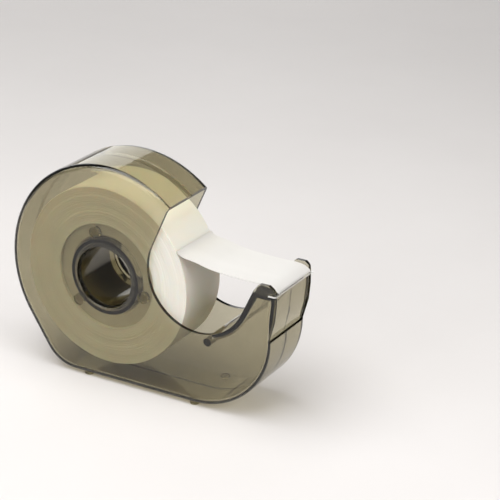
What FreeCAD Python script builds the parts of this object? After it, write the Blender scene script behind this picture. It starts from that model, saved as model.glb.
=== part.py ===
import FreeCAD, Part
import math
import os
import Sketcher

# Hand-held tape dispenser: two thin transparent half shells, a landing pad and
# a toothed cutter in the nose, and a roll of matte tape on a core.
# Millimetres, +Z up, +X toward the nose. Sketches are drawn about the hub
# axis; every body is then placed so that the origin is under the middle.

V = FreeCAD.Vector

# alias, value or formula, what it is
DIMENSIONS = [
    ("hub_x", "-12.85", "hub axis, along the dispenser"),
    ("hub_height", "35.2", "hub axis above the table"),
    ("half_width", "11.2", "seam plane to the outside of a half"),
    ("side_wall", "1.2", "thickness of the flat sides"),
    ("rim_wall", "1.2", "thickness of the rim"),
    ("edge_round", "2.0", "outer rounding between side and rim"),
    ("inner_round", "0.8", "inner rounding between side and rim"),
    ("corner_round", "0.8", "rounding of the cheeks in side view"),
    ("lap_length", "2.0", "lip of the near rim over the far rim"),
    ("lap_thick", "0.55", "thickness of that lip"),
    ("lap_gap", "0.05", "play round that lip"),
    # round back of the shell
    ("back_x", "0.8", "centre of the round back"),
    ("back_z", "0.3", "centre of the round back"),
    ("back_radius", "35.6", "radius of the round back"),
    ("tip_angle", "50", "where the rim ends in a tip"),
    ("heel_angle", "212", "where the round back turns straight"),
    ("heel_radius", "12", "corner between back and base"),
    ("base_z", "-34.4", "flat base under the hub axis"),
    ("belly_x", "31", "where the base turns up to the front"),
    ("belly_z", "-7.7", "height where the front begins"),
    # mouth
    ("mouth_x", "33.2", "centre of the round mouth"),
    ("mouth_z", "6.8", "centre of the round mouth"),
    ("mouth_radius", "17.2", "radius of the round mouth"),
    ("mouth_top_angle", "155", "mouth arc meets the line to the tip"),
    ("mouth_nose_angle", "-28.5", "mouth arc meets the nose"),
    ("mouth_wall_angle", "-73.6", "end of the wall round the mouth"),
    # nose
    ("cheek_back_x", "52.9", "back of a cheek's top"),
    ("cheek_back_z", "8.1", "back of a cheek's top"),
    ("cheek_top_x", "54.8", "highest point of a cheek"),
    ("cheek_top_z", "10.5", "highest point of a cheek"),
    ("cheek_front_x", "58.0", "front top of a cheek"),
    ("cheek_bend_x", "59.5", "bend above the cutter"),
    ("cheek_bend_z", "9.4", "bend above the cutter"),
    ("lip_x", "60.2", "foremost line of a cheek"),
    ("lip_low_z", "4.3", "lower end of the foremost line"),
    ("front_mid_x", "59.6", "bend in the front"),
    ("front_mid_z", "-1.2", "bend in the front"),
    ("panel_depth", "1.0", "front panel set back between the cheeks"),
    ("ledge_z", "-8.3", "ledge under the front panel"),
    ("seat_z", "7.0", "seat of landing pad and cutter"),
    ("slot_back_x", "57.5", "slot for the cutter through the cheeks"),
    ("slot_height", "0.65", "slot for the cutter through the cheeks"),
    # hub
    ("tube_radius", "12.2", "outer tube, outside"),
    ("tube_bore", "11.1", "outer tube, inside"),
    ("liner_radius", "10.8", "inner tube, outside"),
    ("liner_bore", "9.5", "inner tube, inside"),
    ("hub_bore", "9.8", "hole in the near side"),
    ("bore_round", "0.5", "rounding of the hub holes"),
    ("tube_gap", "0.5", "tube end to the opposite side"),
    ("pip_radius", "1.8", "stand-off pips beside the core"),
    ("pip_circle", "14.2", "pips, distance from the hub axis"),
    ("pip_height", "1.4", "pips, height"),
    ("pip_angle", "104", "first pip"),
    # snap posts
    ("post_radius", "1.3", "posts that join the halves"),
    ("pin_radius", "0.6", "pin on a near post"),
    ("pin_length", "3.0", "pin on a near post"),
    ("socket_radius", "0.9", "hole in a far post"),
    ("socket_depth", "4.0", "hole in a far post"),
    # feet
    ("foot_radius", "1.5", "round feet"),
    ("foot_back_x", "-8.1", "rear feet"),
    ("foot_front_x", "31", "front feet"),
    ("foot_inset", "2.1", "foot centre to the outside of the half"),
    ("foot_drop", "0.8", "foot under the base"),
    ("foot_round", "0.35", "rounding under a foot"),
    # landing pad
    ("pad_half_width", "9.8", "landing pad, half width"),
    ("pad_back_x", "52.75", "landing pad, lower back edge"),
    ("pad_crest_x", "54.0", "landing pad, upper back edge"),
    ("pad_front_x", "57.4", "landing pad, front face"),
    ("pad_crest_z", "9.55", "landing pad, top at the back"),
    ("pad_front_z", "9.4", "landing pad, top at the front"),
    ("scallop_radius", "1.6", "scallops along the back edge"),
    ("scallop_pitch", "4.6", "scallops, distance apart"),
    # cutter
    ("blade_back_x", "57.6", "cutter, back edge"),
    ("blade_half_width", "11.0", "cutter, half width"),
    ("blade_bend_x", "59.4", "cutter, bend"),
    ("blade_edge_x", "60.5", "cutter, toothed edge"),
    ("blade_edge_z", "7.35", "cutter, underside at the toothed edge"),
    ("blade_thick", "0.5", "cutter, thickness"),
    ("tooth_pitch", "0.98", "cutter, distance between teeth"),
    ("tooth_depth", "0.62", "cutter, depth of a tooth gap"),
    ("tooth_gaps", "21", "cutter, number of gaps"),
    # roll of tape
    ("tape_width", "19.05", "three quarters of an inch"),
    ("core_bore", "12.7", "one inch core, inside radius"),
    ("core_radius", "17.0", "core, outside radius"),
    ("core_width", "17.0", "core, width"),
    ("core_chamfer", "0.5", "core, edge bevel"),
    ("roll_radius", "28.7", "outside of the wound tape"),
    # free end of the tape
    ("tail_thick", "0.2", "free end, thickness"),
    ("tail_gap", "0.35", "free end above the wound tape"),
    ("tail_angle", "28", "where the free end leaves the roll"),
    # ends of the arcs and lines, worked out from the values above
    ("heel_a_x", "=back_x + back_radius * cos(heel_angle)", "end of the back"),
    ("heel_a_z", "=back_z + back_radius * sin(heel_angle)", "end of the back"),
    ("heel_z", "=base_z + heel_radius", "centre of the heel corner"),
    ("heel_b_z", "=heel_z + heel_radius * sin(heel_angle)", "heel corner"),
    ("heel_b_x", "=heel_a_x - (heel_b_z - heel_a_z) * tan(heel_angle)", "heel corner"),
    ("heel_x", "=heel_b_x - heel_radius * cos(heel_angle)", "centre of the heel corner"),
    ("belly_radius", "=belly_z - base_z", "belly"),
    ("front_x", "=belly_x + belly_radius", "lower front"),
    ("nose_x", "=mouth_x + mouth_radius * cos(mouth_nose_angle)", "mouth meets nose"),
    ("nose_z", "=mouth_z + mouth_radius * sin(mouth_nose_angle)", "mouth meets nose"),
    ("throat_x", "=mouth_x + mouth_radius * cos(mouth_top_angle)", "mouth, top"),
    ("throat_z", "=mouth_z + mouth_radius * sin(mouth_top_angle)", "mouth, top"),
    ("far_tip_x", "=throat_x + 22 * sin(mouth_top_angle)", "past the tip"),
    ("far_tip_z", "=throat_z - 22 * cos(mouth_top_angle)", "past the tip"),
]


def fill_sheet(doc):
    """Write every dimension into the sheet and return the sheet."""
    sheet = doc.addObject("Spreadsheet::Sheet", "dims")
    sheet.Label = "dims"
    for row, (alias, value, note) in enumerate(DIMENSIONS, start=1):
        sheet.set("A%d" % row, alias)
        sheet.set("B%d" % row, value)
        sheet.set("C%d" % row, note)
        sheet.setAlias("B%d" % row, alias)
    doc.recompute()
    return sheet


doc = FreeCAD.newDocument("tape_dispenser")
SHEET = fill_sheet(doc)


def dim(alias):
    """Return one dimension as a float."""
    value = SHEET.get(alias)
    return float(getattr(value, "Value", value))


def bind(feature, prop, formula):
    """Bind a property to the sheet; names in braces are aliases."""
    feature.setExpression(prop, formula.replace("{", "<<dims>>.").replace("}", ""))


def new_body(label, placed=True):
    """Make a body; a placed one has its origin moved from the hub axis to the base."""
    body = doc.addObject("PartDesign::Body", label)
    body.Label = label
    if placed:
        bind(body, "Placement.Base.x", "{hub_x}")
        bind(body, "Placement.Base.z", "{hub_height}")
    return body


def new_sketch(body, name, role="XZ_Plane", offset=None):
    """Attach a sketch to one of the body's own planes, at an offset formula."""
    sketch = body.newObject("Sketcher::SketchObject", name)
    planes = [item for item in body.Origin.OriginFeatures if item.Role == role]
    sketch.AttachmentSupport = [(planes[0], "")]
    sketch.MapMode = "FlatFace"
    if offset is not None:
        bind(sketch, "AttachmentOffset.Base.z", offset)
    doc.recompute()
    return sketch


def name_datum(sketch, index, name, formula):
    """Name a dimension of a sketch and bind it to the sheet."""
    sketch.renameConstraint(index, name)
    bind(sketch, "Constraints." + name, formula)


def add_circle(sketch, x, z, radius, name):
    """Add a circle; x, z and radius are (value, formula) pairs."""
    centre = V(x[0], z[0], 0)
    geo = sketch.addGeometry(Part.Circle(centre, V(0, 0, 1), radius[0]), False)
    index = sketch.addConstraint(Sketcher.Constraint("Radius", geo, radius[0]))
    name_datum(sketch, index, name + "_r", radius[1])
    pin_point(sketch, geo, 3, (x, z), name)
    return geo


def pin_point(sketch, geo, pos, point, name):
    """Hold one point of a sketch at bound coordinates."""
    for kind, letter, pair in (("DistanceX", "x", point[0]), ("DistanceY", "z", point[1])):
        datum = Sketcher.Constraint(kind, -1, 1, geo, pos, pair[0])
        index = sketch.addConstraint(datum)
        name_datum(sketch, index, name + "_" + letter, pair[1])


def at(alias_x, alias_z):
    """Point whose coordinates are two aliases."""
    return ((dim(alias_x), "{" + alias_x + "}"), (dim(alias_z), "{" + alias_z + "}"))


def polar(centre, radius, angle):
    """Point on a circle; centre is a point, the others (value, formula) pairs."""
    cx, cz = centre
    turn = math.radians(angle[0])
    x = (cx[0] + radius[0] * math.cos(turn), "%s + (%s) * cos(%s)" % (cx[1], radius[1], angle[1]))
    z = (cz[0] + radius[0] * math.sin(turn), "%s + (%s) * sin(%s)" % (cz[1], radius[1], angle[1]))
    return (x, z)


def number(alias, factor=1.0, plus=()):
    """(value, formula) of factor * alias plus other aliases given as (sign, alias)."""
    value = factor * dim(alias)
    formula = "%s * {%s}" % (factor, alias)
    for sign, other in plus:
        value += sign * dim(other)
        formula += " + %s * {%s}" % (sign, other)
    return (value, formula)


def outline(sketch, steps):
    """Draw a closed outline.

    Each step is (point,) for a straight side from that point to the next, or
    (point, centre, radius, turn) for an arc, turn being +1 for an arc that
    runs anticlockwise and -1 for one that runs clockwise.
    """
    ends = []
    count = len(steps)
    for index, step in enumerate(steps):
        start = V(step[0][0][0], step[0][1][0], 0)
        following = steps[(index + 1) % count][0]
        stop = V(following[0][0], following[1][0], 0)
        if len(step) == 1:
            geo = sketch.addGeometry(Part.LineSegment(start, stop), False)
            ends.append((geo, 1, 2))
            continue
        centre = V(step[1][0][0], step[1][1][0], 0)
        first, last = (start, stop) if step[3] > 0 else (stop, start)
        angles = [math.atan2(p.y - centre.y, p.x - centre.x) for p in (first, last)]
        circle = Part.Circle(centre, V(0, 0, 1), step[2][0])
        geo = sketch.addGeometry(Part.ArcOfCircle(circle, angles[0], angles[1]), False)
        ends.append((geo, 1, 2) if step[3] > 0 else (geo, 2, 1))
    for index, step in enumerate(steps):
        geo, start, stop = ends[index]
        after = ends[(index + 1) % count]
        sketch.addConstraint(Sketcher.Constraint("Coincident", geo, stop, after[0], after[1]))
    for index, step in enumerate(steps):
        geo, start, stop = ends[index]
        pin_point(sketch, geo, start, step[0], "p%d" % index)
        if len(step) > 1:
            datum = Sketcher.Constraint("Radius", geo, step[2][0])
            name_datum(sketch, sketch.addConstraint(datum), "r%d" % index, step[2][1])
    doc.recompute()


def extrude(body, kind, name, sketch, length, reverse=False, midplane=False):
    """Pad or Pocket a sketch by a bound length."""
    feature = body.newObject("PartDesign::" + kind, name)
    feature.Profile = sketch
    feature.Length = 1.0
    feature.Reversed = reverse
    feature.Midplane = midplane
    bind(feature, "Length", length)
    body.Tip = feature
    doc.recompute()
    return feature


def round_edges(body, name, base, numbers, radius):
    """Round the numbered edges of a feature by a bound radius."""
    feature = body.newObject("PartDesign::Fillet", name)
    feature.Base = (base, ["Edge%d" % n for n in numbers])
    feature.Radius = 0.1
    bind(feature, "Radius", radius)
    body.Tip = feature
    doc.recompute()
    return feature


def edges_where(shape, test):
    """Numbers of the edges whose start, middle and end all pass a test."""
    found = []
    for number_, edge in enumerate(shape.Edges, start=1):
        span = edge.ParameterRange
        points = [edge.valueAt(span[0] + (span[1] - span[0]) * t) for t in (0.02, 0.5, 0.98)]
        if all(test(point) for point in points):
            found.append(number_)
    return found


def joins_wall(edge, shape):
    """True for an edge in a corner between the side and a wall that rises from it."""
    span = edge.ParameterRange
    middle = edge.valueAt(0.5 * (span[0] + span[1]))
    along = edge.tangentAt(0.5 * (span[0] + span[1]))
    across = V(-along.z, 0, along.x)
    across.normalize()
    inward = V(0, -math.copysign(0.3, middle.y), 0)
    sides = [shape.isInside(middle + across * step + inward, 1e-6, False) for step in (0.3, -0.3)]
    return any(sides)


# ---- the two half shells ----

BACK = at("back_x", "back_z")
HEEL = at("heel_x", "heel_z")
BELLY = at("belly_x", "belly_z")
MOUTH = at("mouth_x", "mouth_z")

# post positions between the mouth and the nose, about the hub axis
POSTS = [(36.5, -12.9)]


def side_outline(sketch):
    """Side view of a half before the mouth is cut: round back, base and front."""
    past_tip = polar(BACK, number("back_radius"), (30.0, "30"))
    outline(sketch, [
        (past_tip, BACK, number("back_radius"), 1),
        (at("heel_a_x", "heel_a_z"),),
        (at("heel_b_x", "heel_b_z"), HEEL, number("heel_radius"), 1),
        (at("heel_x", "base_z"),),
        (at("belly_x", "base_z"), BELLY, number("belly_radius"), 1),
        (at("front_x", "belly_z"),),
        (at("front_mid_x", "front_mid_z"),),
        (at("lip_x", "lip_low_z"),),
        (at("lip_x", "far_tip_z"),),
    ])


def mouth_outline(sketch):
    """Everything in front of the tip and above the nose, with the round mouth."""
    beyond = (dim("lip_x") + 6, "{lip_x} + 6")
    far_tip = (dim("far_tip_z"), "{far_tip_z}")
    slot_z = number("seat_z", 1.0, [(0.5, "slot_height")])
    outline(sketch, [
        (at("throat_x", "throat_z"),),
        (at("far_tip_x", "far_tip_z"),),
        ((beyond, (far_tip[0] + 1, far_tip[1] + " + 1")),),
        ((beyond, slot_z),),
        ((number("lip_x"), slot_z),),
        (at("cheek_bend_x", "cheek_bend_z"),),
        (at("cheek_front_x", "cheek_top_z"),),
        (at("cheek_top_x", "cheek_top_z"),),
        (at("cheek_back_x", "cheek_back_z"),),
        (at("nose_x", "nose_z"), MOUTH, number("mouth_radius"), -1),
    ])


def slot_outline(sketch):
    """Slot for the cutter, seen from the side."""
    beyond = (dim("lip_x") + 6, "{lip_x} + 6")
    seat = (dim("seat_z"), "{seat_z}")
    top = number("seat_z", 1.0, [(1.0, "slot_height")])
    back = number("slot_back_x")
    outline(sketch, [((back, seat),), ((beyond, seat),), ((beyond, top),), ((back, top),)])


def lap_outline(sketch, play):
    """Band along the outside of the round back, where the near rim laps the far one."""
    band = number("back_radius", 1.0, [(-1.0, "lap_thick"), (-play, "lap_gap")])
    outer = number("back_radius", 1.0, [(play, "edge_round")])
    start = (dim("tip_angle") - 6 * play, "({tip_angle} - 6 * %d)" % play)
    stop = (dim("heel_angle"), "{heel_angle}")
    outline(sketch, [
        (polar(BACK, outer, start), BACK, outer, 1),
        (polar(BACK, outer, stop),),
        (polar(BACK, band, stop), BACK, band, -1),
        (polar(BACK, band, start),),
    ])


def inset(point, dx, dz):
    """Point moved by multiples of the rim wall."""
    x, z = point
    wall = dim("rim_wall")
    return ((x[0] + dx * wall, "%s + %s * {rim_wall}" % (x[1], dx)),
            (z[0] + dz * wall, "%s + %s * {rim_wall}" % (z[1], dz)))


def cavity_outline(sketch):
    """Hollow of a half: one rim wall inside the outline, open at the mouth."""
    back = number("back_radius", 1.0, [(-1.0, "rim_wall")])
    heel = number("heel_radius", 1.0, [(-1.0, "rim_wall")])
    belly = number("belly_radius", 1.0, [(-1.0, "rim_wall")])
    round_wall = number("mouth_radius", 1.0, [(1.0, "rim_wall")])
    inside = number("mouth_radius", 0.85)
    heel_in = (dim("heel_angle"), "{heel_angle}")
    nose_in = (dim("mouth_nose_angle"), "{mouth_nose_angle}")
    wall_end = (dim("mouth_wall_angle"), "{mouth_wall_angle}")
    past_tip = (dim("tip_angle") - 6.0, "({tip_angle} - 6)")
    outline(sketch, [
        (polar(BACK, back, past_tip), BACK, back, 1),
        (polar(BACK, back, heel_in),),
        (polar(HEEL, heel, heel_in), HEEL, heel, 1),
        (inset(at("heel_x", "base_z"), 0.0, 1.0),),
        (inset(at("belly_x", "base_z"), 0.0, 1.0), BELLY, belly, 1),
        (inset(at("front_x", "belly_z"), -1.0, 0.0),),
        (inset(at("front_mid_x", "front_mid_z"), -1.85, 0.0),),
        (inset(at("lip_x", "lip_low_z"), -1.85, 0.0),),
        (inset(at("lip_x", "seat_z"), -1.9, -1.0),),
        (inset(at("cheek_back_x", "seat_z"), 0.45, -1.0),),
        (polar(MOUTH, round_wall, nose_in), MOUTH, round_wall, -1),
        (polar(MOUTH, round_wall, wall_end),),
        (polar(MOUTH, inside, wall_end),),
        (at("mouth_x", "mouth_z"),),
    ])


def recess_outline(sketch):
    """Space between the cheeks: front panel, and seat of pad and cutter."""
    depth = dim("panel_depth")
    shift = [(-1.0, "panel_depth")]

    def back_from(alias_x, alias_z):
        return (number(alias_x, 1.0, shift), (dim(alias_z), "{" + alias_z + "}"))

    beyond = dim("lip_x") + 3.0
    above = dim("cheek_top_z") + 3.0
    seat_back = (number("cheek_back_x", 1.0, [(-0.75, "panel_depth")]), (dim("seat_z"), "{seat_z}"))
    outline(sketch, [
        (((dim("front_x") - depth, "{front_x} - {panel_depth}"),
          (dim("ledge_z"), "{ledge_z}")),),
        (((beyond, "{lip_x} + 3"), (dim("ledge_z"), "{ledge_z}")),),
        (((beyond, "{lip_x} + 3"), (above, "{cheek_top_z} + 3")),),
        (((seat_back[0][0], seat_back[0][1]), (above, "{cheek_top_z} + 3")),),
        (seat_back,),
        (back_from("lip_x", "seat_z"),),
        (back_from("lip_x", "lip_low_z"),),
        (back_from("front_mid_x", "front_mid_z"),),
    ])


def posts_sketch(body, name, offset, radius, place):
    """Circles at every post position; place is the name of the radius alias."""
    sketch = new_sketch(body, name, offset=offset)
    for index, (x, z) in enumerate(POSTS):
        add_circle(sketch, (x, "%s" % x), (z, "%s" % z), radius, place + "%d" % index)
    doc.recompute()
    return sketch


def half_blank():
    """What both halves share, drawn as the near half: outside, mouth, hollow and seat."""
    label = "half"
    body = new_body("half_blank", placed=False)
    face_y = -dim("half_width")
    seam = new_sketch(body, label + "_side")
    side_outline(seam)
    extrude(body, "Pad", label + "_solid", seam, "{half_width}", False)
    bite = new_sketch(body, label + "_bite")
    mouth_outline(bite)
    bitten = extrude(body, "Pocket", label + "_mouth", bite, "{half_width}", True)

    def cheek_corner(point):
        bend = math.hypot(point.x - dim("cheek_bend_x"), point.z - dim("cheek_bend_z")) < 0.01
        level = abs(point.z - dim("cheek_top_z")) < 0.01
        ends = min(abs(point.x - dim("cheek_front_x")), abs(point.x - dim("cheek_top_x"))) < 0.01
        back = math.hypot(point.x - dim("cheek_back_x"), point.z - dim("cheek_back_z")) < 0.01
        return bend or back or (level and ends)

    corners = edges_where(bitten.Shape, cheek_corner)
    softened = round_edges(body, label + "_corners", bitten, corners, "{corner_round}")

    def on_rim(point):
        from_mouth = math.hypot(point.x - dim("mouth_x"), point.z - dim("mouth_z"))
        from_back = math.hypot(point.x - dim("back_x"), point.z - dim("back_z"))
        below = point.z < dim("belly_z") and from_mouth > dim("mouth_radius") + 0.01
        front = point.x > dim("front_x") - 0.1 and point.z < dim("cheek_back_z")
        return abs(point.y - face_y) < 1e-4 and (
            below or front or abs(from_back - dim("back_radius")) < 0.01)

    rim = edges_where(softened.Shape, on_rim)
    round_edges(body, label + "_edge", softened, rim, "{edge_round}")

    hollow = new_sketch(body, label + "_hollow")
    cavity_outline(hollow)
    hollowed = extrude(body, "Pocket", label + "_cavity", hollow, "{half_width} - {side_wall}", True)
    floor_y = face_y + dim("side_wall")
    floor_edges = edges_where(hollowed.Shape, lambda p: abs(p.y - floor_y) < 1e-4)
    inside = [n for n in floor_edges if joins_wall(hollowed.Shape.Edges[n - 1], hollowed.Shape)]
    round_edges(body, label + "_inner", hollowed, inside, "{inner_round}")
    between = new_sketch(body, label + "_between")
    recess_outline(between)
    extrude(body, "Pocket", label + "_recess", between, "{half_width} - {side_wall}", True)
    groove = new_sketch(body, label + "_groove")
    slot_outline(groove)
    extrude(body, "Pocket", label + "_slot", groove, "{half_width}", True)
    return body


def add_hub(body, label, near):
    """Hub tube, the hole through the side and the pips that space the core."""
    sign = "" if near else "-"
    face_y = -dim("half_width") if near else dim("half_width")
    inner_face = sign + "({half_width} - {side_wall})"
    tube = new_sketch(body, label + "_tube_ring", offset=inner_face)
    zero = (0.0, "0")
    outer_alias, bore_alias = ("tube_radius", "tube_bore") if near else ("liner_radius", "liner_bore")
    add_circle(tube, zero, zero, number(outer_alias), "outer")
    add_circle(tube, zero, zero, number(bore_alias), "inner")
    doc.recompute()
    extrude(body, "Pad", label + "_tube", tube,
            "2 * ({half_width} - {side_wall}) - {tube_gap}", near)

    hole = new_sketch(body, label + "_hole_ring", offset=sign + "{half_width}")
    add_circle(hole, zero, zero, number("hub_bore" if near else "liner_bore"), "hole")
    doc.recompute()
    bored = extrude(body, "Pocket", label + "_hole", hole, "{side_wall}", not near)
    lip_radius = dim("hub_bore") if near else dim("liner_bore")
    lip = edges_where(bored.Shape, lambda p: abs(p.y - face_y) < 1e-4
                      and abs(math.hypot(p.x, p.z) - lip_radius) < 1e-3)
    round_edges(body, label + "_hole_lip", bored, lip, "{bore_round}")

    pips = new_sketch(body, label + "_pip_rings", offset=inner_face)
    for index in range(3):
        turn = (dim("pip_angle") + 120 * index + (0 if near else 8),
                "({pip_angle} + %d)" % (120 * index + (0 if near else 8)))
        x, z = polar((zero, zero), number("pip_circle"), turn)
        add_circle(pips, x, z, number("pip_radius"), "pip%d" % index)
    doc.recompute()
    extrude(body, "Pad", label + "_pips", pips, "{pip_height}", near)


def add_posts(body, label, near):
    """Post between side and seam, with a pin on the near half and a hole in the far one."""
    inner_face = ("" if near else "-") + "({half_width} - {side_wall})"
    posts = posts_sketch(body, label + "_post_rings", inner_face, number("post_radius"), "post")
    extrude(body, "Pad", label + "_posts", posts, "{half_width} - {side_wall}", near)
    if near:
        pins = posts_sketch(body, label + "_pin_rings", None, number("pin_radius"), "pin")
        extrude(body, "Pad", label + "_pins", pins, "{pin_length}", True)
    else:
        sockets = posts_sketch(body, label + "_socket_rings", None, number("socket_radius"), "socket")
        extrude(body, "Pocket", label + "_sockets", sockets, "{socket_depth}", False)


def add_feet(body, label, near):
    """Two small feet under a half."""
    feet = new_sketch(body, label + "_foot_rings", "XY_Plane", "{base_z} + 0.5 * {rim_wall}")
    side = -1.0 if near else 1.0
    y = number("half_width", side, [(-side, "foot_inset")])
    add_circle(feet, number("foot_back_x"), y, number("foot_radius"), "back")
    add_circle(feet, number("foot_front_x"), y, number("foot_radius"), "front")
    doc.recompute()
    footed = extrude(body, "Pad", label + "_feet", feet, "{foot_drop} + 0.5 * {rim_wall}", True)
    floor_z = dim("base_z") - dim("foot_drop")
    soles = edges_where(footed.Shape, lambda p: abs(p.z - floor_z) < 1e-4)
    round_edges(body, label + "_soles", footed, soles, "{foot_round}")


def half_shell(label, near, blank):
    """One half made from the shared blank; the near half lies at -Y and carries the pins."""
    body = new_body(label)
    body.BaseFeature = blank
    doc.recompute()
    lap = new_sketch(body, label + "_lap")
    lap_outline(lap, 0 if near else 1)
    if near:
        extrude(body, "Pad", label + "_lip", lap, "{lap_length} - {lap_gap}", True)
    else:
        extrude(body, "Pocket", label + "_rabbet", lap, "{lap_length}", False)

    add_hub(body, label, near)
    add_posts(body, label, near)
    add_feet(body, label, near)
    return body


# ---- pieces held in the nose ----

def landing_pad():
    """Insert that the free end of the tape sticks to, scalloped at the back."""
    body = new_body("landing_pad")
    side = new_sketch(body, "pad_side")
    outline(side, [
        (at("pad_back_x", "seat_z"),),
        (at("pad_front_x", "seat_z"),),
        (at("pad_front_x", "pad_front_z"),),
        (at("pad_crest_x", "pad_crest_z"),),
    ])
    extrude(body, "Pad", "pad_block", side, "2 * {pad_half_width}", midplane=True)
    top = new_sketch(body, "pad_scallops", "XY_Plane", "{pad_crest_z} + 1")
    x = number("pad_crest_x", 1.0, [(-0.55, "scallop_radius")])
    for index in range(-2, 3):
        y = (index * dim("scallop_pitch"), "%d * {scallop_pitch}" % index)
        add_circle(top, x, y, number("scallop_radius"), "scallop%d" % (index + 2))
    doc.recompute()
    extrude(body, "Pocket", "pad_scallop_cut", top, "1.6")
    return body


def cutter_blade():
    """Thin toothed strip across the nose."""
    body = new_body("cutter_blade")
    side = new_sketch(body, "blade_side")
    seat_top = number("seat_z", 1.0, [(1.0, "blade_thick")])
    edge_top = number("blade_edge_z", 1.0, [(0.4, "blade_thick")])
    outline(side, [
        (at("blade_back_x", "seat_z"),),
        (at("blade_bend_x", "seat_z"),),
        (at("blade_edge_x", "blade_edge_z"),),
        (((dim("blade_edge_x"), "{blade_edge_x}"), edge_top),),
        (((dim("blade_bend_x"), "{blade_bend_x}"), seat_top),),
        (((dim("blade_back_x"), "{blade_back_x}"), seat_top),),
    ])
    extrude(body, "Pad", "blade_strip", side, "2 * {blade_half_width}", midplane=True)
    plan = new_sketch(body, "blade_notch", "XY_Plane", "{blade_edge_z} + 3")
    half = 0.42 * dim("tooth_pitch")
    root = number("blade_edge_x", 1.0, [(-1.0, "tooth_depth")])
    beyond = (dim("blade_edge_x") + 0.1, "{blade_edge_x} + 0.1")
    first = number("tooth_pitch", -10.0)
    outline(plan, [
        ((root, first),),
        ((beyond, (first[0] - half, first[1] + " - 0.42 * {tooth_pitch}")),),
        ((beyond, (first[0] + half, first[1] + " + 0.42 * {tooth_pitch}")),),
    ])
    notch = extrude(body, "Pocket", "blade_notch_cut", plan, "6")
    row = body.newObject("PartDesign::LinearPattern", "blade_teeth")
    row.Originals = [notch]
    row.Direction = (plan, ["V_Axis"])
    row.Length = (dim("tooth_gaps") - 1) * dim("tooth_pitch")
    row.Occurrences = int(dim("tooth_gaps"))
    bind(row, "Length", "({tooth_gaps} - 1) * {tooth_pitch}")
    bind(row, "Occurrences", "{tooth_gaps}")
    body.Tip = row
    doc.recompute()
    return body


# ---- the tape ----

def ring(label, bore, radius, width):
    """Plain ring about the hub axis."""
    body = new_body(label)
    sketch = new_sketch(body, label + "_rings")
    zero = (0.0, "0")
    add_circle(sketch, zero, zero, number(radius), "outer")
    add_circle(sketch, zero, zero, number(bore), "inner")
    doc.recompute()
    extrude(body, "Pad", label + "_ring", sketch, "{" + width + "}", midplane=True)
    return body


def tape_core():
    """Core with a small bevel at both ends of its bore."""
    body = ring("tape_core", "core_bore", "core_radius", "core_width")
    base = body.Tip
    inner = edges_where(base.Shape, lambda p: abs(math.hypot(p.x, p.z) - dim("core_bore")) < 1e-3
                        and abs(abs(p.y) - 0.5 * dim("core_width")) < 1e-4)
    bevel = body.newObject("PartDesign::Chamfer", "core_bevel")
    bevel.Base = (base, ["Edge%d" % n for n in inner])
    bevel.Size = 0.1
    bind(bevel, "Size", "{core_chamfer}")
    body.Tip = bevel
    doc.recompute()
    return body


# middle line of the free end after it leaves the roll, about the hub axis
TAIL_LINE = [(31.0, 11.8), (36.0, 10.75), (42.3, 10.1), (48.4, 9.85), (53.5, 9.85),
             (57.3, 9.68), (59.2, 8.9), (60.4, 7.9)]


def tape_tail():
    """Free end: leaves the roll, sags to the pad and ends at the cutter."""
    start_radius = dim("roll_radius") + dim("tail_gap") + 0.5 * dim("tail_thick")
    turn = math.radians(dim("tail_angle"))
    edge_y = -0.5 * dim("tape_width")
    points = [V(start_radius * math.cos(turn), edge_y, start_radius * math.sin(turn))]
    points += [V(x, edge_y, z) for x, z in TAIL_LINE]
    curve = Part.BSplineCurve()
    leave = V(math.sin(turn), 0, -math.cos(turn))
    curve.interpolate(points, InitialTangent=leave * 5.0, FinalTangent=V(4.5, 0, -2.4))
    half = 0.5 * dim("tail_thick")
    upper = [curve.value(curve.LastParameter * t / 24.0) for t in range(25)]
    normals = []
    for t in range(25):
        tangent = curve.tangent(curve.LastParameter * t / 24.0)[0]
        normals.append(V(-tangent.z, 0, tangent.x))
    top = Part.BSplineCurve()
    top.interpolate([p + n * half for p, n in zip(upper, normals)])
    under = Part.BSplineCurve()
    under.interpolate([p - n * half for p, n in zip(upper, normals)])
    sides = [top.toShape(), under.toShape(),
             Part.makeLine(top.value(top.FirstParameter), under.value(under.FirstParameter)),
             Part.makeLine(top.value(top.LastParameter), under.value(under.LastParameter))]
    face = Part.Face(Part.Wire(Part.__sortEdges__(sides)))
    solid = face.extrude(V(0, dim("tape_width"), 0))
    tail = doc.addObject("Part::Feature", "tape_tail")
    tail.Label = "tape_tail"
    tail.Shape = solid
    tail.Placement = FreeCAD.Placement(V(dim("hub_x"), 0, dim("hub_height")), FreeCAD.Rotation())
    return tail


def check_document():
    """Stop if any object is invalid, in error or without a shape."""
    for item in doc.Objects:
        if "Invalid" in item.State or "Error" in item.State:
            raise RuntimeError("object %s did not compute" % item.Label)
    for piece in PIECES:
        if piece.Shape.isNull() or not piece.Shape.isValid():
            raise RuntimeError("piece %s has no valid shape" % piece.Label)
        if len(piece.Shape.Solids) != 1:
            raise RuntimeError("piece %s is not one solid" % piece.Label)


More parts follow.
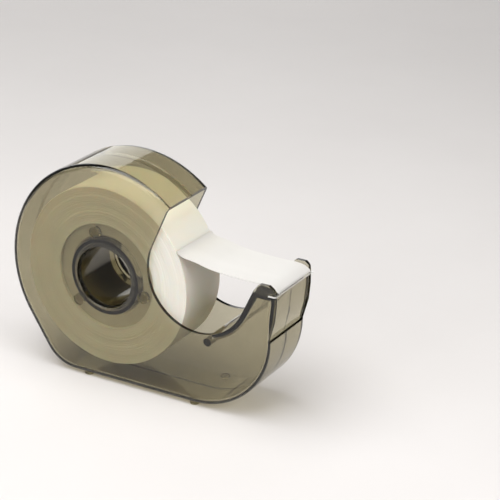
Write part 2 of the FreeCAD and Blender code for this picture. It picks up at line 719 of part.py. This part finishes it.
HALF = half_blank()
MIRRORED = doc.addObject("Part::Mirroring", "mirrored_blank")
MIRRORED.Source = HALF
MIRRORED.Normal = V(0, 1, 0)
doc.recompute()
PIECES = [
    half_shell("near_shell", True, HALF),
    half_shell("far_shell", False, MIRRORED),
    landing_pad(),
    cutter_blade(),
    tape_core(),
    ring("tape_roll", "core_radius", "roll_radius", "tape_width"),
    tape_tail(),
]
doc.recompute()
check_document()
os.makedirs("parts", exist_ok=True)
for piece in PIECES:
    piece.Shape.exportStep("parts/%s.step" % piece.Label)
    box = piece.Shape.optimalBoundingBox()
    print("%-14s volume %9.1f  x %7.2f %7.2f  y %6.2f %6.2f  z %6.2f %6.2f" % (
        piece.Label, piece.Shape.Volume, box.XMin, box.XMax, box.YMin, box.YMax, box.ZMin, box.ZMax))
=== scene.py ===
import math
import random

import bmesh
import bpy
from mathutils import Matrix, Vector


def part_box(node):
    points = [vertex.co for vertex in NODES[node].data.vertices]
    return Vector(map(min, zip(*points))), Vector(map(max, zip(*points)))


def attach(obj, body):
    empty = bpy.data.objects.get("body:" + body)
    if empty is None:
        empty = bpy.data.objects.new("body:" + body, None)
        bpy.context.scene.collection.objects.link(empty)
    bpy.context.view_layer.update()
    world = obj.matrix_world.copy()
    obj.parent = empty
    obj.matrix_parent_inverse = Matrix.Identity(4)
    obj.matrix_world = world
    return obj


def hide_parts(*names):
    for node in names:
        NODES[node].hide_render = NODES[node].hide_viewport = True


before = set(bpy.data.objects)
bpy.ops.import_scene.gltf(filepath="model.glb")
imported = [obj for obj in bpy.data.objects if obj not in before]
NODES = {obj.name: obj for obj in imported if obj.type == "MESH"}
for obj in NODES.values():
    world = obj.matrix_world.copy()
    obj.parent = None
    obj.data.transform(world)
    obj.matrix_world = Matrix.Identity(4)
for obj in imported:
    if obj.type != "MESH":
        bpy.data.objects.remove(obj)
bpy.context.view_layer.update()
MM = 0.001
SHARP_ANGLE = 35.0          # degrees; steeper bends of a modelled piece stay sharp
SHARP_COPIED = 32.0         # degrees; the same for a copied CAD piece
FLAT_ANGLE = 0.3            # degrees; flatter bends of a copied CAD piece are joined
TURNS = 46                  # visible turns on the side of the roll
ROLL_SEGMENTS = 192         # round the hub axis
ROLL_BEVEL = 0.12 * MM      # worn edge between side and tread
TEAR_PITCH = 1.0 * MM       # tear marks in the end of the tape
TEAR_DEPTH = 0.45 * MM
FINE_GRAIN = 0.00001        # metres; height of the finest surface relief

# ---- places read from the frame ----

CORE_LOW, CORE_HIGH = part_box("tape_core")
HUB = (CORE_LOW + CORE_HIGH) / 2
CORE_RADIUS = (CORE_HIGH.x - CORE_LOW.x) / 2
ROLL_LOW, ROLL_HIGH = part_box("tape_roll")
ROLL_RADIUS = (ROLL_HIGH.x - ROLL_LOW.x) / 2
TAPE_HALF = (ROLL_HIGH.y - ROLL_LOW.y) / 2
TAIL_LOW, TAIL_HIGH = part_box("tape_tail")


# ---- node helpers ----

def new_material(name):
    """Empty node material; returns it with its tree and output node."""
    material = bpy.data.materials.new(name)
    material.use_nodes = True
    tree = material.node_tree
    tree.nodes.clear()
    output = tree.nodes.new("ShaderNodeOutputMaterial")
    return material, tree, output


def add_node(tree, kind, values=None, **settings):
    """Node with plain values on its inputs and settings on itself."""
    node = tree.nodes.new("ShaderNode" + kind)
    for name, value in settings.items():
        setattr(node, name, value)
    for name, value in (values or {}).items():
        node.inputs[name].default_value = value
    return node


def join(tree, source, target):
    """Link an output socket to an input socket."""
    tree.links.new(source, target)


def ramp(tree, source, stops):
    """Colour ramp over a value; stops are (position, grey or colour)."""
    node = tree.nodes.new("ShaderNodeValToRGB")
    join(tree, source, node.inputs["Fac"])
    elements = node.color_ramp.elements
    while len(elements) < len(stops):
        elements.new(0.5)
    for element, (position, colour) in zip(elements, stops):
        if not isinstance(colour, (tuple, list)):
            colour = (colour, colour, colour)
        element.position = position
        element.color = (*colour, 1.0)
    return node.outputs["Color"]


def object_noise(tree, scale, detail=4.0, roughness=0.55, stretch=None):
    """Noise over the piece's own coordinates in metres; stretch scales them per axis."""
    place = tree.nodes.new("ShaderNodeTexCoord").outputs["Object"]
    if stretch:
        mapping = add_node(tree, "Mapping")
        mapping.inputs["Scale"].default_value = stretch
        join(tree, place, mapping.inputs["Vector"])
        place = mapping.outputs["Vector"]
    texture = add_node(tree, "TexNoise", {"Scale": scale, "Detail": detail, "Roughness": roughness})
    join(tree, place, texture.inputs["Vector"])
    return texture.outputs["Fac"]


def bump(tree, height, distance, strength=1.0, normal=None):
    """Bump node; distance is in metres."""
    node = add_node(tree, "Bump", {"Distance": distance, "Strength": strength})
    join(tree, height, node.inputs["Height"])
    if normal is not None:
        join(tree, normal, node.inputs["Normal"])
    return node.outputs["Normal"]


# ---- materials ----

def smoke_plastic(name, absorb, density, lamp_tint):
    """Clear moulded plastic, tinted through its thickness, faintly rippled and handled.

    Lamp light (shadow rays) goes straight through it with the tint lamp_tint.
    """
    material, tree, output = new_material(name)
    shader = add_node(tree, "BsdfPrincipled", {
        "IOR": 1.50, "Transmission Weight": 1.0, "Specular IOR Level": 0.3})
    flow = object_noise(tree, 60.0, 2.0)
    smudge = object_noise(tree, 140.0, 6.0, 0.65)
    join(tree, ramp(tree, smudge, [(0.35, (0.80, 0.78, 0.69)), (0.75, (0.75, 0.73, 0.64))]),
         shader.inputs["Base Color"])
    join(tree, ramp(tree, smudge, [(0.40, 0.015), (0.80, 0.075)]), shader.inputs["Roughness"])
    rippled = bump(tree, flow, 0.00012, 0.5)
    scratches = object_noise(tree, 700.0, 3.0, 0.6, (0.12, 1.0, 1.0))
    scored = ramp(tree, scratches, [(0.66, 0.0), (0.72, 1.0)])
    join(tree, bump(tree, scored, 0.000004, 0.35, rippled), shader.inputs["Normal"])
    open_to_lamps = add_node(tree, "BsdfTransparent", {"Color": (*lamp_tint, 1.0)})
    path = add_node(tree, "LightPath")
    choose = add_node(tree, "MixShader")
    join(tree, path.outputs["Is Shadow Ray"], choose.inputs[0])
    join(tree, shader.outputs[0], choose.inputs[1])
    join(tree, open_to_lamps.outputs[0], choose.inputs[2])
    join(tree, choose.outputs[0], output.inputs["Surface"])
    volume = add_node(tree, "VolumeAbsorption", {"Color": (*absorb, 1.0), "Density": density})
    join(tree, volume.outputs[0], output.inputs["Volume"])
    return material


def wound_tape():
    """Wound film: fine turns and broad bands by distance from the hub axis, and grain."""
    material, tree, output = new_material("wound_tape")
    shader = add_node(tree, "BsdfPrincipled", {
        "IOR": 1.49, "Subsurface Weight": 0.25, "Subsurface Scale": 0.004})
    place = tree.nodes.new("ShaderNodeTexCoord").outputs["Object"]
    centre = add_node(tree, "VectorMath", operation="SUBTRACT")
    centre.inputs[1].default_value = HUB
    join(tree, place, centre.inputs[0])
    flat = add_node(tree, "VectorMath", operation="MULTIPLY")
    flat.inputs[1].default_value = (1.0, 0.0, 1.0)
    join(tree, centre.outputs[0], flat.inputs[0])
    length = add_node(tree, "VectorMath", operation="LENGTH")
    join(tree, flat.outputs[0], length.inputs[0])
    turns = add_node(tree, "TexNoise", {"Scale": 2600.0, "Detail": 3.0}, noise_dimensions="1D")
    join(tree, length.outputs["Value"], turns.inputs["W"])
    bands = add_node(tree, "TexNoise", {"Scale": 420.0, "Detail": 2.0}, noise_dimensions="1D")
    join(tree, length.outputs["Value"], bands.inputs["W"])
    grain = object_noise(tree, 900.0, 3.0)
    mixed = add_node(tree, "Mix", data_type="RGBA", blend_type="MULTIPLY")
    mixed.inputs["Factor"].default_value = 1.0
    join(tree, ramp(tree, bands.outputs["Fac"],
                    [(0.3, (0.76, 0.735, 0.65)), (0.7, (0.80, 0.775, 0.70))]),
         mixed.inputs["A"])
    join(tree, ramp(tree, turns.outputs["Fac"], [(0.3, 0.965), (0.7, 1.0)]), mixed.inputs["B"])
    join(tree, mixed.outputs["Result"], shader.inputs["Base Color"])
    join(tree, ramp(tree, grain, [(0.3, 0.42), (0.7, 0.55)]), shader.inputs["Roughness"])
    first = bump(tree, turns.outputs["Fac"], 0.00004, 0.6)
    join(tree, bump(tree, grain, FINE_GRAIN, 0.5, first), shader.inputs["Normal"])
    join(tree, shader.outputs[0], output.inputs["Surface"])
    return material


def matte_film():
    """Free end of the tape: frosted white film that lets a little light through."""
    material, tree, output = new_material("matte_film")
    shader = add_node(tree, "BsdfPrincipled", {"IOR": 1.49})
    grain = object_noise(tree, 1400.0, 3.0)
    streak = object_noise(tree, 120.0, 3.0, 0.5, (0.25, 1.0, 1.0))
    join(tree, ramp(tree, streak, [(0.3, (0.74, 0.725, 0.695)), (0.7, (0.79, 0.775, 0.745))]),
         shader.inputs["Base Color"])
    join(tree, ramp(tree, grain, [(0.3, 0.40), (0.7, 0.52)]), shader.inputs["Roughness"])
    join(tree, bump(tree, grain, FINE_GRAIN, 0.4), shader.inputs["Normal"])
    glow = add_node(tree, "BsdfTranslucent", {"Color": (0.80, 0.78, 0.73, 1.0)})
    mix = add_node(tree, "MixShader", {0: 0.22})
    join(tree, shader.outputs[0], mix.inputs[1])
    join(tree, glow.outputs[0], mix.inputs[2])
    join(tree, mix.outputs[0], output.inputs["Surface"])
    return material


def core_plastic():
    """Core of the roll: dull off-white moulding."""
    material, tree, output = new_material("core_plastic")
    shader = add_node(tree, "BsdfPrincipled", {"IOR": 1.49, "Subsurface Weight": 0.1,
                                               "Subsurface Scale": 0.003})
    cloud = object_noise(tree, 260.0, 5.0)
    join(tree, ramp(tree, cloud, [(0.3, (0.47, 0.44, 0.36)), (0.7, (0.53, 0.50, 0.42))]),
         shader.inputs["Base Color"])
    join(tree, ramp(tree, cloud, [(0.3, 0.38), (0.7, 0.5)]), shader.inputs["Roughness"])
    join(tree, bump(tree, object_noise(tree, 1800.0), FINE_GRAIN, 0.5), shader.inputs["Normal"])
    join(tree, shader.outputs[0], output.inputs["Surface"])
    return material


def blade_steel():
    """Thin rolled strip with lengthwise scratches."""
    material, tree, output = new_material("blade_steel")
    shader = add_node(tree, "BsdfPrincipled", {"Metallic": 1.0})
    scratch = object_noise(tree, 900.0, 4.0, 0.6, (1.0, 0.03, 1.0))
    join(tree, ramp(tree, scratch, [(0.3, (0.70, 0.70, 0.69)), (0.7, (0.80, 0.80, 0.79))]),
         shader.inputs["Base Color"])
    join(tree, ramp(tree, scratch, [(0.3, 0.18), (0.7, 0.34)]), shader.inputs["Roughness"])
    join(tree, bump(tree, scratch, FINE_GRAIN, 0.4), shader.inputs["Normal"])
    join(tree, shader.outputs[0], output.inputs["Surface"])
    return material


def studio_paper():
    """Pale seamless floor."""
    material, tree, output = new_material("studio_paper")
    shader = add_node(tree, "BsdfPrincipled", {"Specular IOR Level": 0.2})
    cloud = object_noise(tree, 9.0, 4.0)
    join(tree, ramp(tree, cloud, [(0.3, (0.70, 0.675, 0.660)), (0.7, (0.73, 0.705, 0.690))]),
         shader.inputs["Base Color"])
    join(tree, ramp(tree, object_noise(tree, 300.0), [(0.3, 0.6), (0.7, 0.7)]),
         shader.inputs["Roughness"])
    join(tree, shader.outputs[0], output.inputs["Surface"])
    return material


# ---- pieces ----

def clean_copy(node, name, material, body):
    """Copy of a CAD piece with joined vertices and face-weighted normals."""
    mesh = NODES[node].data.copy()
    mesh.name = name
    work = bmesh.new()
    work.from_mesh(mesh)
    bmesh.ops.remove_doubles(work, verts=work.verts, dist=1e-6)
    bmesh.ops.dissolve_degenerate(work, edges=work.edges, dist=1e-7)
    bmesh.ops.dissolve_limit(work, angle_limit=math.radians(FLAT_ANGLE),
                             verts=work.verts, edges=work.edges)
    work.to_mesh(mesh)
    work.free()
    if mesh.has_custom_normals:
        mesh.attributes.remove(mesh.attributes["custom_normal"])
    mesh.materials.clear()
    mesh.materials.append(material)
    piece = bpy.data.objects.new(name, mesh)
    bpy.context.scene.collection.objects.link(piece)
    shade(mesh, SHARP_COPIED)
    weighted = piece.modifiers.new("normals", "WEIGHTED_NORMAL")
    weighted.keep_sharp = True
    weighted.weight = 100
    register(piece, node, body)
    return piece


def register(piece, node, body):
    """Let a piece ride on a body and stand for a CAD node."""
    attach(piece, body)
    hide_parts(node)


def shade(mesh, angle=SHARP_ANGLE):
    """Smooth shading with sharp edges where faces meet at more than an angle."""
    mesh.shade_smooth()
    mesh.set_sharp_from_angle(angle=math.radians(angle))


def new_piece(name, work, material):
    """Object made from a finished bmesh."""
    mesh = bpy.data.meshes.new(name)
    bmesh.ops.recalc_face_normals(work, faces=work.faces)
    work.to_mesh(mesh)
    work.free()
    mesh.materials.append(material)
    shade(mesh)
    piece = bpy.data.objects.new(name, mesh)
    bpy.context.scene.collection.objects.link(piece)
    return piece


def lathe(name, profile, material, count):
    """Turn a closed profile of (radius, y) about the hub axis."""
    work = bmesh.new()
    rings = []
    for k in range(count):
        angle = 2 * math.pi * k / count
        rings.append([work.verts.new(HUB + Vector((r * math.cos(angle), y, r * math.sin(angle))))
                      for r, y in profile])
    for k in range(count):
        here, following = rings[k], rings[(k + 1) % count]
        for n in range(len(profile)):
            m = (n + 1) % len(profile)
            work.faces.new((here[n], here[m], following[m], following[n]))
    return new_piece(name, work, material)


def wound_roll(material):
    """The roll as a lathe shape: each side is a stack of turns that stand a hair uneven.

    A turn stands in from the tape's edge by up to 0.07 mm, so the roll stays inside its node.
    """
    rng = random.Random(7)
    outer, inner = ROLL_RADIUS, CORE_RADIUS
    step = (outer - inner) / TURNS
    uneven = [0.03 * MM * rng.random() + 0.02 * MM * (1 + math.sin(0.37 * n))
              for n in range(TURNS)]
    side = []
    for n in range(TURNS):
        depth = TAPE_HALF - uneven[n]
        side += [(inner + step * (n + 0.08), depth), (inner + step * (n + 0.92), depth)]
    side[0] = (inner, side[0][1])
    side[-1] = (outer - ROLL_BEVEL, side[-1][1])
    profile = side + [(outer, TAPE_HALF - ROLL_BEVEL)]
    profile += [(radius, -depth) for radius, depth in reversed(profile)]
    return lathe("wound_roll", profile, material, ROLL_SEGMENTS)


def cut_teeth(piece):
    """Tear marks of the cutter in the end of the tape."""
    rows = int(2 * TAPE_HALF / TEAR_PITCH) + 2
    first = -0.5 * rows * TEAR_PITCH
    root = TAIL_HIGH.x - TEAR_DEPTH
    front = TAIL_HIGH.x + 1.0 * MM          # past the end of the tape
    bottom, top = TAIL_LOW.z - 1.0 * MM, TAIL_LOW.z + 2.5 * MM
    line = [(front, first)]
    for n in range(rows):
        line.append((root, first + n * TEAR_PITCH))
        line.append((TAIL_HIGH.x, first + (n + 0.5) * TEAR_PITCH))
    line.append((root, first + rows * TEAR_PITCH))
    line.append((front, first + rows * TEAR_PITCH))
    work = bmesh.new()
    low = [work.verts.new((x, y, bottom)) for x, y in line]
    high = [work.verts.new((x, y, top)) for x, y in line]
    work.faces.new(low)
    work.faces.new(high)
    for n in range(len(line)):
        m = (n + 1) % len(line)
        work.faces.new((low[n], low[m], high[m], high[n]))
    bmesh.ops.recalc_face_normals(work, faces=work.faces)
    mesh = bpy.data.meshes.new("tear")
    work.to_mesh(mesh)
    work.free()
    tool = bpy.data.objects.new("tear", mesh)
    bpy.context.scene.collection.objects.link(tool)
    cut = piece.modifiers.new("tear", "BOOLEAN")
    cut.operation = "DIFFERENCE"
    cut.solver = "EXACT"
    cut.object = tool
    graph = bpy.context.evaluated_depsgraph_get()
    torn = bpy.data.meshes.new_from_object(piece.evaluated_get(graph))
    piece.modifiers.clear()
    piece.data = torn
    bpy.data.objects.remove(tool)
    shade(torn)


SMOKE = smoke_plastic("smoke_plastic", absorb=(0.40, 0.34, 0.10), density=360.0,
                      lamp_tint=(0.84, 0.83, 0.78))

clean_copy("near_shell", "near_shell_moulding", SMOKE, "near_half")
clean_copy("far_shell", "far_shell_moulding", SMOKE, "far_half")
PAD = smoke_plastic("pad_plastic", absorb=(0.50, 0.42, 0.2), density=260.0,
                    lamp_tint=(0.94, 0.93, 0.92))
clean_copy("landing_pad", "landing_pad_moulding", PAD, "near_half")
clean_copy("cutter_blade", "cutter_strip", blade_steel(), "near_half")
clean_copy("tape_core", "core_ring", core_plastic(), "roll")
register(wound_roll(wound_tape()), "tape_roll", "roll")
cut_teeth(clean_copy("tape_tail", "free_end", matte_film(), "near_half"))


# ---- studio ----

def area_light(name, place, target, size, power):
    """White softbox that faces a target."""
    light = bpy.data.lights.new(name, "AREA")
    light.shape = "RECTANGLE"
    light.size, light.size_y = size
    light.energy = power
    holder = bpy.data.objects.new(name, light)
    holder.location = place
    holder.rotation_euler = (Vector(target) - Vector(place)).to_track_quat("-Z", "Y").to_euler()
    bpy.context.scene.collection.objects.link(holder)


def make_floor():
    """Large flat floor under the feet."""
    mesh = bpy.data.meshes.new("floor")
    half = 6.0
    mesh.from_pydata([(-half, -half, 0), (half, -half, 0), (half, half, 0), (-half, half, 0)],
                     [], [(0, 1, 2, 3)])
    floor = bpy.data.objects.new("floor", mesh)
    mesh.materials.append(studio_paper())
    bpy.context.scene.collection.objects.link(floor)


make_floor()
world = bpy.data.worlds.new("studio")
world.use_nodes = True
sky = world.node_tree.nodes["Background"]
sky.inputs["Color"].default_value = (1.0, 0.97, 0.95, 1.0)
sky.inputs["Strength"].default_value = 0.16
bpy.context.scene.world = world
bpy.context.scene.view_settings.view_transform = "Standard"
SOFTBOXES = [   # name, place, target, size, watts
    ("softbox_top", (-0.06, -0.12, 0.50), (0.0, -0.02, 0.0), (0.55, 0.45), 3.0),
    ("softbox_front", (-0.30, -0.62, 0.34), (0.0, 0.0, 0.035), (0.50, 0.50), 1.9),
    ("softbox_nose", (0.55, -0.10, 0.30), (0.0, 0.0, 0.04), (0.40, 0.40), 1.9),
    ("softbox_back", (-0.42, 0.60, 0.24), (0.0, 0.0, 0.06), (0.80, 0.40), 1.3),
]
for softbox in SOFTBOXES:
    area_light(*softbox)

CAMERA_FROM_HUB = Vector((294.1, -416.6, 221.6))            # mm
CAMERA_LOOK = Vector((-0.4721, 0.7897, -0.3917))
camera_data = bpy.data.cameras.new("camera")
camera_data.lens = 129.7
camera_data.sensor_width = 36.0
camera_data.clip_start = 0.01
camera = bpy.data.objects.new("camera", camera_data)
camera.location = HUB + CAMERA_FROM_HUB * MM
camera.rotation_euler = CAMERA_LOOK.to_track_quat("-Z", "Y").to_euler()
bpy.context.scene.collection.objects.link(camera)
bpy.context.scene.camera = camera
